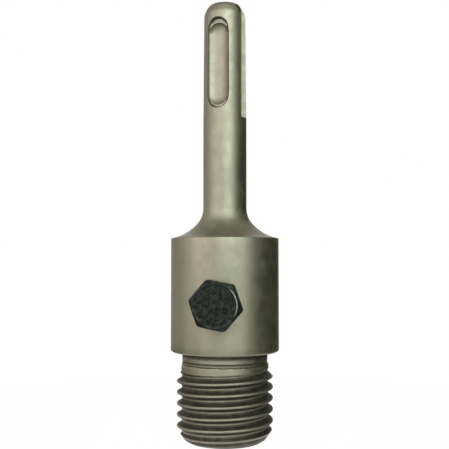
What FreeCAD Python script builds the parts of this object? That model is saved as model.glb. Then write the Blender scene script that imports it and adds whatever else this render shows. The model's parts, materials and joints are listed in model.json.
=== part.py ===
import FreeCAD, Part
import enum
import math
import os
import Sketcher

# Hollow core drill arbor: a turned steel body with a slotted shank at the top and a coarse thread at the
# foot, and a hexagon screw that clamps a pilot drill in the bore.
# The origin is the centre of the threaded end face, +Z is up to the shank, and -Y is towards the screw.

# Driving sizes in millimetres and degrees: alias, value, what it is
SIZES = [
    ("thread_diameter", 21.85, "over the thread's crests"),
    ("thread_pitch", 2.5, "rise in one turn, right-handed"),
    ("thread_depth", 1.15, "crest to root"),
    ("thread_crest", 0.4, "width of the flat crest"),
    ("thread_flank", 30.0, "slope of each flank"),
    ("thread_start", 0.95, "first groove above the end face, on +X"),
    ("thread_length", 15.6, "end face to the land"),
    ("land_diameter", 19.9, "turned land above the thread"),
    ("land_length", 1.75, "land, from the thread to the relief"),
    ("end_face_diameter", 16.6, "flat face of the threaded end"),
    ("end_edge_diameter", 18.6, "foot of the bevel, where the end's worn edge starts"),
    ("end_edge_height", 0.6, "worn edge of the threaded end"),
    ("end_bevel_height", 2.3, "bevel that leads the thread in"),
    ("relief_length", 2.85, "relief between the land and the shoulder"),
    ("relief_depth", 0.05, "relief below the thread's root"),
    ("collar_diameter", 24.7, "round collar"),
    ("collar_length", 25.75, "shoulder to the collar's rim"),
    ("shoulder_chamfer", 0.35, "edge of the shoulder"),
    ("rim_break", 0.3, "edge of the upper rim"),
    ("flare_length", 6.85, "collar's rim to the plain shank"),
    ("flare_radius", 5.2, "hollow next to the shank"),
    ("flare_turn", 40.0, "how far that hollow turns before it widens"),
    ("shank_diameter", 10.0, "plain shank"),
    ("shank_length", 20.0, "plain shank, flare to insert"),
    ("insert_length", 25.1, "slotted end, up to the nose"),
    ("insert_end_diameter", 9.65, "slight taper of the slotted end, at the nose"),
    ("nose_cone_length", 1.8, "steep cone of the nose"),
    ("nose_bend_diameter", 7.96, "where the nose's steep cone meets its blunt one"),
    ("nose_tip_length", 0.65, "blunt cone of the nose"),
    ("nose_tip_diameter", 6.2, "flat end of the nose"),
    ("slot_turn", -14.8, "grooves and slots, turned from the screw's plane"),
    ("drive_slot_width", 4.1, "open slot, one of two"),
    ("drive_slot_floor", 3.35, "floor of an open slot from the shank's axis"),
    ("drive_slot_length", 26.8, "open slot, from the tip of the nose"),
    ("drive_slot_corner", 0.9, "hollow corner at the slot's closed end"),
    ("ball_groove_width", 5.0, "closed groove at its ends, one of two"),
    ("ball_groove_length", 20.95, "closed groove over its round ends"),
    ("ball_groove_setback", 3.95, "closed groove below the tip of the nose"),
    ("ball_ledge_floor", 3.95, "shallow ledge at the groove's ends, from the shank's axis"),
    ("ball_ledge_fillet", 0.15, "hollow corner of the ledge"),
    ("ball_radius", 3.5, "rounded channel that the locking ball runs in"),
    ("ball_channel_floor", 2.95, "bottom of the channel from the shank's axis"),
    ("ball_ledge_upper", 1.2, "ledge above the channel"),
    ("ball_ledge_lower", 0.85, "ledge below the channel"),
    ("bore_diameter", 8.0, "pilot drill bore"),
    ("bore_depth", 40.0, "pilot drill bore, to its shoulder"),
    ("bore_chamfer", 0.6, "mouth of the bore"),
    ("drill_point", 118.0, "angle of the drill that cut the bore"),
    ("screw_diameter", 6.0, "clamp screw over its thread"),
    ("screw_clearance", 0.1, "screw to its hole, all round"),
    ("screw_height", 11.2, "screw's axis above the shoulder"),
    ("screw_chamfer", 0.6, "tip of the screw"),
    ("screw_tip_gap", 0.2, "tip of the screw outside the bore's wall"),
    ("head_gap", 1.8, "collar to the underside of the head"),
    ("head_flats", 10.0, "head across its flats"),
    ("head_height", 4.0, "head with its washer face"),
    ("head_turn", -10.9, "one corner of the head, turned from +X"),
    ("head_chamfer", 0.25, "corner chamfer inside the flats, on the end face"),
    ("head_chamfer_slope", 30.0, "slope of the corner chamfer"),
    ("washer_face_diameter", 8.9, "washer face under the head"),
    ("washer_face_height", 0.3, "washer face under the head"),
]

# Heights above the threaded end, as sheet expressions
RELIEF_FOOT = "(Sizes.thread_length + Sizes.land_length)"
SHOULDER = f"({RELIEF_FOOT} + Sizes.relief_length)"
COLLAR_RIM = f"({SHOULDER} + Sizes.collar_length)"
SHANK_FOOT = f"({COLLAR_RIM} + Sizes.flare_length)"
INSERT_FOOT = f"({SHANK_FOOT} + Sizes.shank_length)"
NOSE_FOOT = f"({INSERT_FOOT} + Sizes.insert_length)"
NOSE_BEND = f"({NOSE_FOOT} + Sizes.nose_cone_length)"
NOSE_TIP = f"({NOSE_BEND} + Sizes.nose_tip_length)"
SCREW_AXIS = f"({SHOULDER} + Sizes.screw_height)"

# Radii, as sheet expressions
THREAD_R = "(Sizes.thread_diameter / 2)"
ROOT_R = f"({THREAD_R} - Sizes.thread_depth)"
RELIEF_R = f"({ROOT_R} - Sizes.relief_depth)"
LAND_R = "(Sizes.land_diameter / 2)"
COLLAR_R = "(Sizes.collar_diameter / 2)"
SHANK_R = "(Sizes.shank_diameter / 2)"
BORE_R = "(Sizes.bore_diameter / 2)"
SCREW_R = "(Sizes.screw_diameter / 2)"
SCREW_HOLE_R = f"({SCREW_R} + Sizes.screw_clearance)"

# A sketch's own origin and axes
ORIGIN = (-1, 1)
H_AXIS = -1
V_AXIS = -2

# How far a cutting profile stands out of the metal that it cuts
OVERRUN = 1.0
# How far from true a face may be that is looked up by its place
TRUE_WITHIN = 1e-4
GROOVE_COUNT = 2
HEAD_SIDES = 6


class Point(enum.IntEnum):
    """The point of a sketch edge that a constraint holds."""

    START = 1
    END = 2
    CENTRE = 3


def make_sheet(doc):
    """Write the driving sizes into the sheet, one row each."""
    sheet = doc.addObject("Spreadsheet::Sheet", "Sizes")
    for row, (alias, value, meaning) in enumerate(SIZES, start=1):
        sheet.set(f"A{row}", alias)
        sheet.set(f"B{row}", str(value))
        sheet.set(f"C{row}", meaning)
        sheet.setAlias(f"B{row}", alias)
    doc.recompute()


def origin_feature(body, role):
    return next(feature for feature in body.Origin.OriginFeatures if feature.Role == role)


def new_sketch(body, name, role):
    """Start a sketch on one of the body's own origin planes."""
    sketch = body.newObject("Sketcher::SketchObject", name)
    sketch.AttachmentSupport = [(origin_feature(body, role), "")]
    sketch.MapMode = "FlatFace"
    return sketch


def worth(thing, expression):
    """The plain number that a sheet expression has now."""
    return float(thing.evalExpression(expression))


def dimension(sketch, kind, geometry, expression):
    """Add a driving dimension and tie it to the sheet; an angle is in degrees."""
    value = worth(sketch, expression)
    if kind == "Angle":
        value = math.radians(value)
        expression = f"({expression}) * 1 deg"
    index = sketch.addConstraint(Sketcher.Constraint(kind, *geometry, value))
    sketch.setExpression(f"Constraints[{index}]", expression)


def place_point(sketch, point, across, up):
    """Tie a point's distances from the sketch's origin to the sheet."""
    dimension(sketch, "DistanceX", ORIGIN + point, across)
    dimension(sketch, "DistanceY", ORIGIN + point, up)


def point_of(sketch, across, up):
    return FreeCAD.Vector(worth(sketch, across), worth(sketch, up), 0)


def outline(sketch, corners):
    """Draw a closed straight-sided outline with each corner tied to the sheet."""
    points = [point_of(sketch, across, up) for across, up in corners]
    edges = [
        sketch.addGeometry(Part.LineSegment(point, points[(index + 1) % len(points)]), False)
        for index, point in enumerate(points)
    ]
    for index, edge in enumerate(edges):
        following = edges[(index + 1) % len(edges)]
        sketch.addConstraint(Sketcher.Constraint("Coincident", edge, Point.END, following, Point.START))
    for edge, (across, up) in zip(edges, corners):
        place_point(sketch, (edge, Point.START), across, up)


def circle(sketch, across, up, radius):
    """Draw a circle with its centre and radius tied to the sheet."""
    shape = Part.Circle(point_of(sketch, across, up), FreeCAD.Vector(0, 0, 1), worth(sketch, radius))
    edge = sketch.addGeometry(shape, False)
    place_point(sketch, (edge, Point.CENTRE), across, up)
    dimension(sketch, "Radius", (edge,), radius)


def turn_about_upright(sketch, angle, outward="0"):
    """Turn a sketch on the XZ plane about the part's axis, and move it out along its own normal."""
    sketch.AttachmentOffset = FreeCAD.Placement(
        FreeCAD.Vector(), FreeCAD.Rotation(FreeCAD.Vector(0, 1, 0), worth(sketch, angle))
    )
    sketch.setExpression(".AttachmentOffset.Rotation.Angle", angle)
    swing = f"({angle}) * 1 deg"
    sketch.setExpression(".AttachmentOffset.Base.x", f"({outward}) * sin({swing})")
    sketch.setExpression(".AttachmentOffset.Base.z", f"({outward}) * cos({swing})")


def revolve(body, name, sketch, kind="Revolution"):
    """Revolve a sketch all round its own upright axis; kind Groove cuts instead of adding."""
    feature = body.newObject(f"PartDesign::{kind}", name)
    feature.Profile = sketch
    feature.ReferenceAxis = (sketch, ["V_Axis"])
    feature.Angle = 360
    return feature


def pattern_round(body, name, feature):
    """Repeat a cut at equal angles round the part's axis."""
    pattern = body.newObject("PartDesign::PolarPattern", name)
    pattern.Originals = [feature]
    pattern.Axis = (origin_feature(body, "Z_Axis"), [""])
    pattern.Angle = 360
    pattern.Occurrences = GROOVE_COUNT
    body.Tip = pattern
    return pattern


def check_cut(doc, body, before):
    """Stop if the last cut took nothing off."""
    doc.recompute()
    after = body.Shape.Volume
    if after >= before - 1e-6:
        raise RuntimeError(f"{body.Tip.Label} cut nothing")
    return after


def turned_blank(body):
    """Revolve the stepped blank, from the threaded end to the nose."""
    sketch = new_sketch(body, "BlankProfile", "XZ_Plane")
    outline(
        sketch,
        [
            ("0", "0"),
            ("Sizes.end_face_diameter / 2", "0"),
            ("Sizes.end_edge_diameter / 2", "Sizes.end_edge_height"),
            (THREAD_R, "Sizes.end_edge_height + Sizes.end_bevel_height"),
            (THREAD_R, f"Sizes.thread_length - ({THREAD_R} - {LAND_R})"),
            (LAND_R, "Sizes.thread_length"),
            (LAND_R, RELIEF_FOOT),
            (RELIEF_R, RELIEF_FOOT),
            (RELIEF_R, SHOULDER),
            (f"{COLLAR_R} - Sizes.shoulder_chamfer", SHOULDER),
            (COLLAR_R, f"{SHOULDER} + Sizes.shoulder_chamfer"),
            (COLLAR_R, f"{COLLAR_RIM} - Sizes.rim_break"),
            (f"{COLLAR_R} - Sizes.rim_break", COLLAR_RIM),
            (SHANK_R, COLLAR_RIM),
            (SHANK_R, INSERT_FOOT),
            ("Sizes.insert_end_diameter / 2", NOSE_FOOT),
            ("Sizes.nose_bend_diameter / 2", NOSE_BEND),
            ("Sizes.nose_tip_diameter / 2", NOSE_TIP),
            ("0", NOSE_TIP),
        ],
    )
    return revolve(body, "Blank", sketch)


def flare(body):
    """Add the hollow flare between shank and collar: a tight arc that runs on into a wider one."""
    sketch = new_sketch(body, "FlareProfile", "XZ_Plane")
    turn = math.radians(worth(sketch, "Sizes.flare_turn"))
    tight = worth(sketch, "Sizes.flare_radius")
    top = point_of(sketch, SHANK_R, SHANK_FOOT)
    rim = point_of(sketch, f"{COLLAR_R} - Sizes.rim_break", COLLAR_RIM)
    inward = FreeCAD.Vector(math.cos(turn), math.sin(turn), 0)
    tight_centre = top + FreeCAD.Vector(tight, 0, 0)
    meeting = tight_centre - inward * tight
    reach = rim - meeting
    wide = reach.dot(reach) / (2 * reach.dot(inward))
    wide_centre = meeting + inward * wide

    upright = FreeCAD.Vector(0, 0, 1)
    bottom_angle = math.atan2(rim.y - wide_centre.y, rim.x - wide_centre.x) % (2 * math.pi)
    upper = Part.ArcOfCircle(Part.Circle(tight_centre, upright, tight), math.pi, math.pi + turn)
    lower = Part.ArcOfCircle(Part.Circle(wide_centre, upright, wide), math.pi + turn, bottom_angle)
    core_foot = point_of(sketch, f"{SHANK_R} / 2", COLLAR_RIM)
    core_top = point_of(sketch, f"{SHANK_R} / 2", SHANK_FOOT)
    upper_arc = sketch.addGeometry(upper, False)
    lower_arc = sketch.addGeometry(lower, False)
    rim_line = sketch.addGeometry(Part.LineSegment(rim, core_foot), False)
    core_line = sketch.addGeometry(Part.LineSegment(core_foot, core_top), False)
    top_line = sketch.addGeometry(Part.LineSegment(core_top, top), False)
    sketch.addConstraint(
        [
            Sketcher.Constraint("Tangent", upper_arc, Point.END, lower_arc, Point.START),
            Sketcher.Constraint("Coincident", lower_arc, Point.END, rim_line, Point.START),
            Sketcher.Constraint("Coincident", rim_line, Point.END, core_line, Point.START),
            Sketcher.Constraint("Coincident", core_line, Point.END, top_line, Point.START),
            Sketcher.Constraint("Coincident", top_line, Point.END, upper_arc, Point.START),
            Sketcher.Constraint("Horizontal", upper_arc, Point.START, upper_arc, Point.CENTRE),
        ]
    )
    dimension(sketch, "Radius", (upper_arc,), "Sizes.flare_radius")
    dimension(sketch, "Angle", (upper_arc,), "Sizes.flare_turn")
    place_point(sketch, (upper_arc, Point.START), SHANK_R, SHANK_FOOT)
    place_point(sketch, (lower_arc, Point.END), f"{COLLAR_R} - Sizes.rim_break", COLLAR_RIM)
    place_point(sketch, (core_line, Point.START), f"{SHANK_R} / 2", COLLAR_RIM)
    place_point(sketch, (core_line, Point.END), f"{SHANK_R} / 2", SHANK_FOOT)
    return revolve(body, "Flare", sketch)


def cut_thread(body):
    """Cut the right-handed thread groove along its helix, until it has run out into the relief."""
    sketch = new_sketch(body, "ThreadProfile", "XZ_Plane")
    start = "(Sizes.thread_start - Sizes.thread_pitch)"
    spread = "tan(Sizes.thread_flank * 1 deg)"
    half_mouth = "((Sizes.thread_pitch - Sizes.thread_crest) / 2)"
    half_root = f"({half_mouth} - Sizes.thread_depth * {spread})"
    half_outside = f"({half_mouth} + {OVERRUN} * {spread})"
    outline(
        sketch,
        [
            (ROOT_R, f"{start} - {half_root}"),
            (f"{THREAD_R} + {OVERRUN}", f"{start} - {half_outside}"),
            (f"{THREAD_R} + {OVERRUN}", f"{start} + {half_outside}"),
            (ROOT_R, f"{start} + {half_root}"),
        ],
    )
    helix = body.newObject("PartDesign::SubtractiveHelix", "Thread")
    helix.Profile = sketch
    helix.ReferenceAxis = (sketch, ["V_Axis"])
    helix.Mode = "pitch-height-angle"
    helix.setExpression("Pitch", "Sizes.thread_pitch")
    helix.setExpression("Height", f"{RELIEF_FOOT} + {half_mouth} / 2 - {start}")
    return helix


def bore_for_pilot_drill(body):
    """Drill the blind bore up from the threaded end, with a chamfered mouth."""
    sketch = new_sketch(body, "BoreProfile", "XZ_Plane")
    half_point = "(Sizes.drill_point / 2 * 1 deg)"
    outline(
        sketch,
        [
            ("0", f"-{OVERRUN}"),
            (f"{BORE_R} + Sizes.bore_chamfer + {OVERRUN}", f"-{OVERRUN}"),
            (BORE_R, "Sizes.bore_chamfer"),
            (BORE_R, "Sizes.bore_depth"),
            ("0", f"Sizes.bore_depth + {BORE_R} / tan{half_point}"),
        ],
    )
    return revolve(body, "PilotBore", sketch, "Groove")


def hole_for_screw(body):
    """Cut the radial screw hole from the bore out through the front of the collar."""
    sketch = new_sketch(body, "ScrewHoleProfile", "XZ_Plane")
    circle(sketch, "0", SCREW_AXIS, SCREW_HOLE_R)
    pocket = body.newObject("PartDesign::Pocket", "ScrewHole")
    pocket.Profile = sketch
    pocket.Reversed = True
    pocket.setExpression("Length", f"{COLLAR_R} + {OVERRUN}")
    return pocket


def cut_drive_slot(body):
    """Cut one open slot: flat floor, square sides, and a hollow corner at its closed end."""
    sketch = new_sketch(body, "DriveSlotProfile", "XZ_Plane")
    turn_about_upright(sketch, "Sizes.slot_turn")
    foot = f"({NOSE_TIP} - Sizes.drive_slot_length)"
    outside = f"({SHANK_R} + {OVERRUN})"
    above = f"({NOSE_TIP} + {OVERRUN})"
    corner = "Sizes.drive_slot_corner"
    floor = "Sizes.drive_slot_floor"
    corner_radius = worth(sketch, corner)
    corner_top = point_of(sketch, floor, f"{foot} + {corner}")
    corner_foot = point_of(sketch, f"{floor} + {corner}", foot)
    corner_centre = point_of(sketch, f"{floor} + {corner}", f"{foot} + {corner}")
    ring = Part.Circle(corner_centre, FreeCAD.Vector(0, 0, 1), corner_radius)
    arc = sketch.addGeometry(Part.ArcOfCircle(ring, math.pi, 1.5 * math.pi), False)
    outer_foot = point_of(sketch, outside, foot)
    outer_top = point_of(sketch, outside, above)
    floor_top = point_of(sketch, floor, above)
    ends = [corner_foot, outer_foot, outer_top, floor_top, corner_top]
    lines = [
        sketch.addGeometry(Part.LineSegment(here, there), False) for here, there in zip(ends[:-1], ends[1:])
    ]
    for here, there in zip([arc] + lines, lines + [arc]):
        sketch.addConstraint(Sketcher.Constraint("Coincident", here, Point.END, there, Point.START))
    sketch.addConstraint(Sketcher.Constraint("Horizontal", arc, Point.START, arc, Point.CENTRE))
    sketch.addConstraint(Sketcher.Constraint("Vertical", arc, Point.END, arc, Point.CENTRE))
    dimension(sketch, "Radius", (arc,), corner)
    place_point(sketch, (arc, Point.CENTRE), f"{floor} + {corner}", f"{foot} + {corner}")
    place_point(sketch, (lines[1], Point.START), outside, foot)
    place_point(sketch, (lines[2], Point.START), outside, above)
    place_point(sketch, (lines[3], Point.START), floor, above)
    pocket = body.newObject("PartDesign::Pocket", "DriveSlot")
    pocket.Profile = sketch
    pocket.SideType = "Symmetric"
    pocket.setExpression("Length", "Sizes.drive_slot_width")
    return pocket


def cut_ball_ledge(body):
    """Cut one closed groove with round ends down to its shallow ledge."""
    sketch = new_sketch(body, "BallLedgeProfile", "XZ_Plane")
    turn_about_upright(sketch, "Sizes.slot_turn", "Sizes.ball_ledge_floor")
    radius = "(Sizes.ball_groove_width / 2)"
    top = f"({NOSE_TIP} - Sizes.ball_groove_setback - {radius})"
    foot = f"({NOSE_TIP} - Sizes.ball_groove_setback - Sizes.ball_groove_length + {radius})"
    upright = FreeCAD.Vector(0, 0, 1)
    top_ring = Part.Circle(point_of(sketch, "0", top), upright, worth(sketch, radius))
    foot_ring = Part.Circle(point_of(sketch, "0", foot), upright, worth(sketch, radius))
    right_side = Part.LineSegment(point_of(sketch, radius, foot), point_of(sketch, radius, top))
    left_side = Part.LineSegment(point_of(sketch, f"-{radius}", top), point_of(sketch, f"-{radius}", foot))
    shapes = [
        right_side,
        Part.ArcOfCircle(top_ring, 0, math.pi),
        left_side,
        Part.ArcOfCircle(foot_ring, math.pi, 2 * math.pi),
    ]
    edges = [sketch.addGeometry(shape, False) for shape in shapes]
    for here, there in zip(edges, edges[1:] + edges[:1]):
        sketch.addConstraint(Sketcher.Constraint("Tangent", here, Point.END, there, Point.START))
    place_point(sketch, (edges[1], Point.CENTRE), "0", top)
    place_point(sketch, (edges[3], Point.CENTRE), "0", foot)
    dimension(sketch, "Radius", (edges[1],), radius)
    pocket = body.newObject("PartDesign::Pocket", "BallLedge")
    pocket.Profile = sketch
    pocket.Reversed = True
    pocket.setExpression("Length", f"{SHANK_R} + {OVERRUN} - Sizes.ball_ledge_floor")
    return pocket


def ledge_edges(body, depth):
    """Names of the edges round the ledges' flat floors, which lie at this distance from the part's axis."""
    names = []
    for face in body.Shape.Faces:
        if not isinstance(face.Surface, Part.Plane):
            continue
        normal = face.normalAt(0, 0)
        off_axis = abs(face.CenterOfMass.dot(normal))
        if abs(normal.z) > TRUE_WITHIN or abs(off_axis - depth) > TRUE_WITHIN:
            continue
        for edge in face.Edges:
            names += [f"Edge{n}" for n, other in enumerate(body.Shape.Edges, start=1) if edge.isSame(other)]
    return names


def round_ledge_corners(doc, body):
    """Fillet the hollow corner all round both ledges."""
    base = body.Tip
    fillet = body.newObject("PartDesign::Fillet", "LedgeFillet")
    fillet.Base = (base, ledge_edges(body, doc.Sizes.ball_ledge_floor))
    fillet.setExpression("Radius", "Sizes.ball_ledge_fillet")
    return fillet


def cut_ball_channel(body):
    """Cut one ball channel into its ledge: a ball-nosed cutter's path, revolved about the cutter's axis."""
    sketch = new_sketch(body, "BallChannelProfile", "XZ_Plane")
    radius = "Sizes.ball_radius"
    cutter_axis = f"(Sizes.ball_channel_floor + {radius})"
    turn_about_upright(sketch, "Sizes.slot_turn", cutter_axis)
    # half the channel's width where it breaks through the ledge
    sink = f"({cutter_axis} - Sizes.ball_ledge_floor)"
    half_width = f"sqrt({radius} * {radius} - {sink} * {sink})"
    groove_top = f"({NOSE_TIP} - Sizes.ball_groove_setback)"
    top = f"({groove_top} - Sizes.ball_ledge_upper - {half_width})"
    foot = f"({groove_top} - Sizes.ball_groove_length + Sizes.ball_ledge_lower + {half_width})"
    upright = FreeCAD.Vector(0, 0, 1)
    top_ring = Part.Circle(point_of(sketch, "0", top), upright, worth(sketch, radius))
    foot_ring = Part.Circle(point_of(sketch, "0", foot), upright, worth(sketch, radius))
    path_top = point_of(sketch, "0", f"{top} + {radius}")
    path_foot = point_of(sketch, "0", f"{foot} - {radius}")
    shapes = [
        Part.LineSegment(point_of(sketch, radius, foot), point_of(sketch, radius, top)),
        Part.ArcOfCircle(top_ring, 0, math.pi / 2),
        Part.LineSegment(path_top, path_foot),
        Part.ArcOfCircle(foot_ring, 1.5 * math.pi, 2 * math.pi),
    ]
    side, top_arc, axis_line, foot_arc = [sketch.addGeometry(shape, False) for shape in shapes]
    sketch.addConstraint(
        [
            Sketcher.Constraint("Tangent", side, Point.END, top_arc, Point.START),
            Sketcher.Constraint("Coincident", top_arc, Point.END, axis_line, Point.START),
            Sketcher.Constraint("Coincident", axis_line, Point.END, foot_arc, Point.START),
            Sketcher.Constraint("Tangent", foot_arc, Point.END, side, Point.START),
            Sketcher.Constraint("PointOnObject", axis_line, Point.START, V_AXIS),
            Sketcher.Constraint("PointOnObject", axis_line, Point.END, V_AXIS),
        ]
    )
    place_point(sketch, (top_arc, Point.CENTRE), "0", top)
    place_point(sketch, (foot_arc, Point.CENTRE), "0", foot)
    dimension(sketch, "Radius", (top_arc,), radius)
    return revolve(body, "BallChannel", sketch, "Groove")


def adapter_body(doc):
    """The turned and milled steel body, in one piece."""
    body = doc.addObject("PartDesign::Body", "adapter_body")
    body.Label = "adapter_body"
    turned_blank(body)
    flare(body)
    doc.recompute()
    volume = body.Shape.Volume
    for cut in (cut_thread, bore_for_pilot_drill, hole_for_screw):
        cut(body)
        volume = check_cut(doc, body, volume)
    for cut, ring in ((cut_drive_slot, "DriveSlots"), (cut_ball_ledge, "BallLedges")):
        feature = cut(body)
        volume = check_cut(doc, body, volume)
        pattern_round(body, ring, feature)
        volume = check_cut(doc, body, volume)
    round_ledge_corners(doc, body)
    doc.recompute()
    volume = body.Shape.Volume
    feature = cut_ball_channel(body)
    volume = check_cut(doc, body, volume)
    pattern_round(body, "BallChannels", feature)
    check_cut(doc, body, volume)
    return body


def screw_shank(body):
    """Revolve the screw's shank and the washer face under its head; the head stands above the XY plane."""
    sketch = new_sketch(body, "ShankProfile", "XZ_Plane")
    tip = f"-({COLLAR_R} + Sizes.head_gap - {BORE_R} - Sizes.screw_tip_gap)"
    outline(
        sketch,
        [
            ("0", tip),
            (f"{SCREW_R} - Sizes.screw_chamfer", tip),
            (SCREW_R, f"{tip} + Sizes.screw_chamfer"),
            (SCREW_R, "0"),
            ("Sizes.washer_face_diameter / 2", "0"),
            ("Sizes.washer_face_diameter / 2", "Sizes.washer_face_height"),
            ("0", "Sizes.washer_face_height"),
        ],
    )
    return revolve(body, "Shank", sketch)


def screw_head(body):
    """Pad the hexagon, drawn inside a construction circle through its corners."""
    sketch = new_sketch(body, "HeadProfile", "XY_Plane")
    sketch.AttachmentOffset = FreeCAD.Placement(
        FreeCAD.Vector(), FreeCAD.Rotation(FreeCAD.Vector(0, 0, 1), worth(sketch, "Sizes.head_turn"))
    )
    sketch.setExpression(".AttachmentOffset.Rotation.Angle", "Sizes.head_turn")
    sketch.setExpression(".AttachmentOffset.Base.z", "Sizes.washer_face_height")
    corner_radius = "(Sizes.head_flats / sqrt(3))"
    reach = worth(sketch, corner_radius)
    turns = [step * math.tau / HEAD_SIDES for step in range(HEAD_SIDES)]
    corners = [FreeCAD.Vector(reach * math.cos(turn), reach * math.sin(turn), 0) for turn in turns]
    ring = Part.Circle(FreeCAD.Vector(), FreeCAD.Vector(0, 0, 1), reach)
    guide = sketch.addGeometry(ring, True)
    sketch.addConstraint(Sketcher.Constraint("Coincident", guide, Point.CENTRE, *ORIGIN))
    edges = [
        sketch.addGeometry(Part.LineSegment(here, there), False)
        for here, there in zip(corners, corners[1:] + corners[:1])
    ]
    for here, there in zip(edges, edges[1:] + edges[:1]):
        sketch.addConstraint(Sketcher.Constraint("Coincident", here, Point.END, there, Point.START))
        sketch.addConstraint(Sketcher.Constraint("PointOnObject", here, Point.START, guide))
    for edge in edges[1:]:
        sketch.addConstraint(Sketcher.Constraint("Equal", edges[0], edge))
    sketch.addConstraint(Sketcher.Constraint("PointOnObject", edges[0], Point.START, H_AXIS))
    dimension(sketch, "Radius", (guide,), corner_radius)
    pad = body.newObject("PartDesign::Pad", "Head")
    pad.Profile = sketch
    pad.setExpression("Length", "Sizes.head_height - Sizes.washer_face_height")
    return pad


def chamfer_head_corners(body):
    """Turn the head's corners down on its end face, all round."""
    sketch = new_sketch(body, "HeadChamferProfile", "XZ_Plane")
    inner = "(Sizes.head_flats / 2 - Sizes.head_chamfer)"
    outer = f"(Sizes.head_flats / sqrt(3) + {OVERRUN})"
    drop = f"(({outer} - {inner}) * tan(Sizes.head_chamfer_slope * 1 deg))"
    outline(
        sketch,
        [
            (inner, "Sizes.head_height"),
            (outer, f"Sizes.head_height - {drop}"),
            (outer, "Sizes.head_height"),
        ],
    )
    return revolve(body, "HeadChamfer", sketch, "Groove")


def clamp_bolt(doc):
    """The hexagon clamp screw, drawn upright and laid along -Y at its place in the collar."""
    body = doc.addObject("PartDesign::Body", "clamp_bolt")
    body.Label = "clamp_bolt"
    screw_shank(body)
    screw_head(body)
    doc.recompute()
    volume = body.Shape.Volume
    chamfer_head_corners(body)
    check_cut(doc, body, volume)
    body.Placement = FreeCAD.Placement(FreeCAD.Vector(), FreeCAD.Rotation(FreeCAD.Vector(1, 0, 0), 90))
    body.setExpression(".Placement.Base.y", f"-({COLLAR_R} + Sizes.head_gap)")
    body.setExpression(".Placement.Base.z", SCREW_AXIS)
    return body


def check_model(doc, bodies):
    """Stop if any feature failed or any body isn't one sound solid."""
    doc.recompute()
    for thing in doc.Objects:
        if "Invalid" in thing.State or "Error" in thing.State:
            raise RuntimeError(f"{thing.Label} failed: {thing.State}")
    for body in bodies:
        shape = body.Shape
        if shape.isNull() or not shape.isValid() or len(shape.Solids) != 1:
            raise RuntimeError(f"{body.Label} is not one sound solid")


def main():
    doc = FreeCAD.newDocument("sds_plus_adapter")
    make_sheet(doc)
    bodies = [adapter_body(doc), clamp_bolt(doc)]
    check_model(doc, bodies)
    os.makedirs("parts", exist_ok=True)
    for body in bodies:
        body.Shape.exportStep(f"parts/{body.Label}.step")
        print(body.Label, round(body.Shape.Volume, 3), "mm3")


main()
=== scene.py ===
"""Hollow core drill arbor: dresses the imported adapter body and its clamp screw, and lights them for a plain
studio picture. Run as a script it registers the add-on below and uses its operators in order."""

import json
from dataclasses import dataclass
from math import atan2, ceil, cos, floor, hypot, pi, radians, sin, sqrt, tan

import bmesh
import bpy
from mathutils import Matrix, Vector


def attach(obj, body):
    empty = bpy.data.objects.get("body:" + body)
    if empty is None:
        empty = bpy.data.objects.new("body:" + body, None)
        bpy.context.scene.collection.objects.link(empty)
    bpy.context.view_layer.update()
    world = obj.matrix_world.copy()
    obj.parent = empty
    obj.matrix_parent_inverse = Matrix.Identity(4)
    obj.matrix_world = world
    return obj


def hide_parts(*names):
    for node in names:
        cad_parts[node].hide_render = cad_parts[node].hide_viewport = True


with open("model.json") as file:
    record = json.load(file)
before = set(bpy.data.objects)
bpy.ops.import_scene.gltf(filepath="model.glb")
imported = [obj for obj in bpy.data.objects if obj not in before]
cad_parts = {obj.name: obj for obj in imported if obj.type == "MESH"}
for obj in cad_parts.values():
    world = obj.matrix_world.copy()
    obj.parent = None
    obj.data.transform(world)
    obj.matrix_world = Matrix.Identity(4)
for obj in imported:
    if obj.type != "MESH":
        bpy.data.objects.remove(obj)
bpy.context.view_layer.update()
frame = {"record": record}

bl_info = {
    "name": "Core drill arbor",
    "version": (1, 0, 0),
    "blender": (4, 5, 0),
    "location": "View3D > Sidebar > Arbor",
    "description": "Makes a slotted-shank core drill arbor with its clamp screw, and a plain stage for it",
    "category": "Add Mesh",
}

MM = 0.001
TURN = 2 * pi
MOUNTS = {mount["name"]: mount for mount in frame["record"]["mounts"]}

# Columns round the turned body, round the clamp screw and round its hole
BODY_COLUMNS = 180
SCREW_COLUMNS = 144
HOLE_COLUMNS = 72
# Rows in one turn of a thread, and steps in the arc between a slot and a groove
ROWS_A_TURN = 22
ARC_STEPS = 14
# Sections along a groove's round end and straight part, a slot's hollow corner, the nose and the shank
END_STEPS = 12
GROOVE_STEPS = 24
CORNER_STEPS = 6
NOSE_STEPS = 13
SHANK_STEPS = 8
# Steps in the flare's tight and wide arcs, and down the collar
TIGHT_STEPS = 14
WIDE_STEPS = 22
COLLAR_STEPS = 16
# Where half a groove's section has points: along its channel, its ledge and the ledge's hollow corner
CHANNEL_SHARES = (0.0, 0.28, 0.52, 0.72, 0.86, 0.94, 1.0)
LEDGE_STEPS = 2
HOLLOW_STEPS = 3
# Where a worn edge has its middle point, as a share of its radius
EDGE_MIDDLE = 0.3
# Height of the plain ring below the slotted end, and of the step between the land and the relief
SHANK_RING = 0.3 * MM
LAND_STEP = 0.06 * MM
# Two points nearer than this are one, and edges that bend by more than this stay sharp
WELD = 2e-7
SHARP = radians(38)

# Side of the screw's face whose rim gets a painted highlight: its middle, half its width and where it fades
# out
HIGHLIGHT_MIDDLE = radians(12)
HIGHLIGHT_HALF = radians(24)
HIGHLIGHT_FADE = radians(16)

# The picture's width and the camera's focal length in pixels, and the sensor's width
PICTURE_WIDTH = 449.0
FOCAL_LENGTH = 768.3
SENSOR_WIDTH = 36.0
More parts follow.
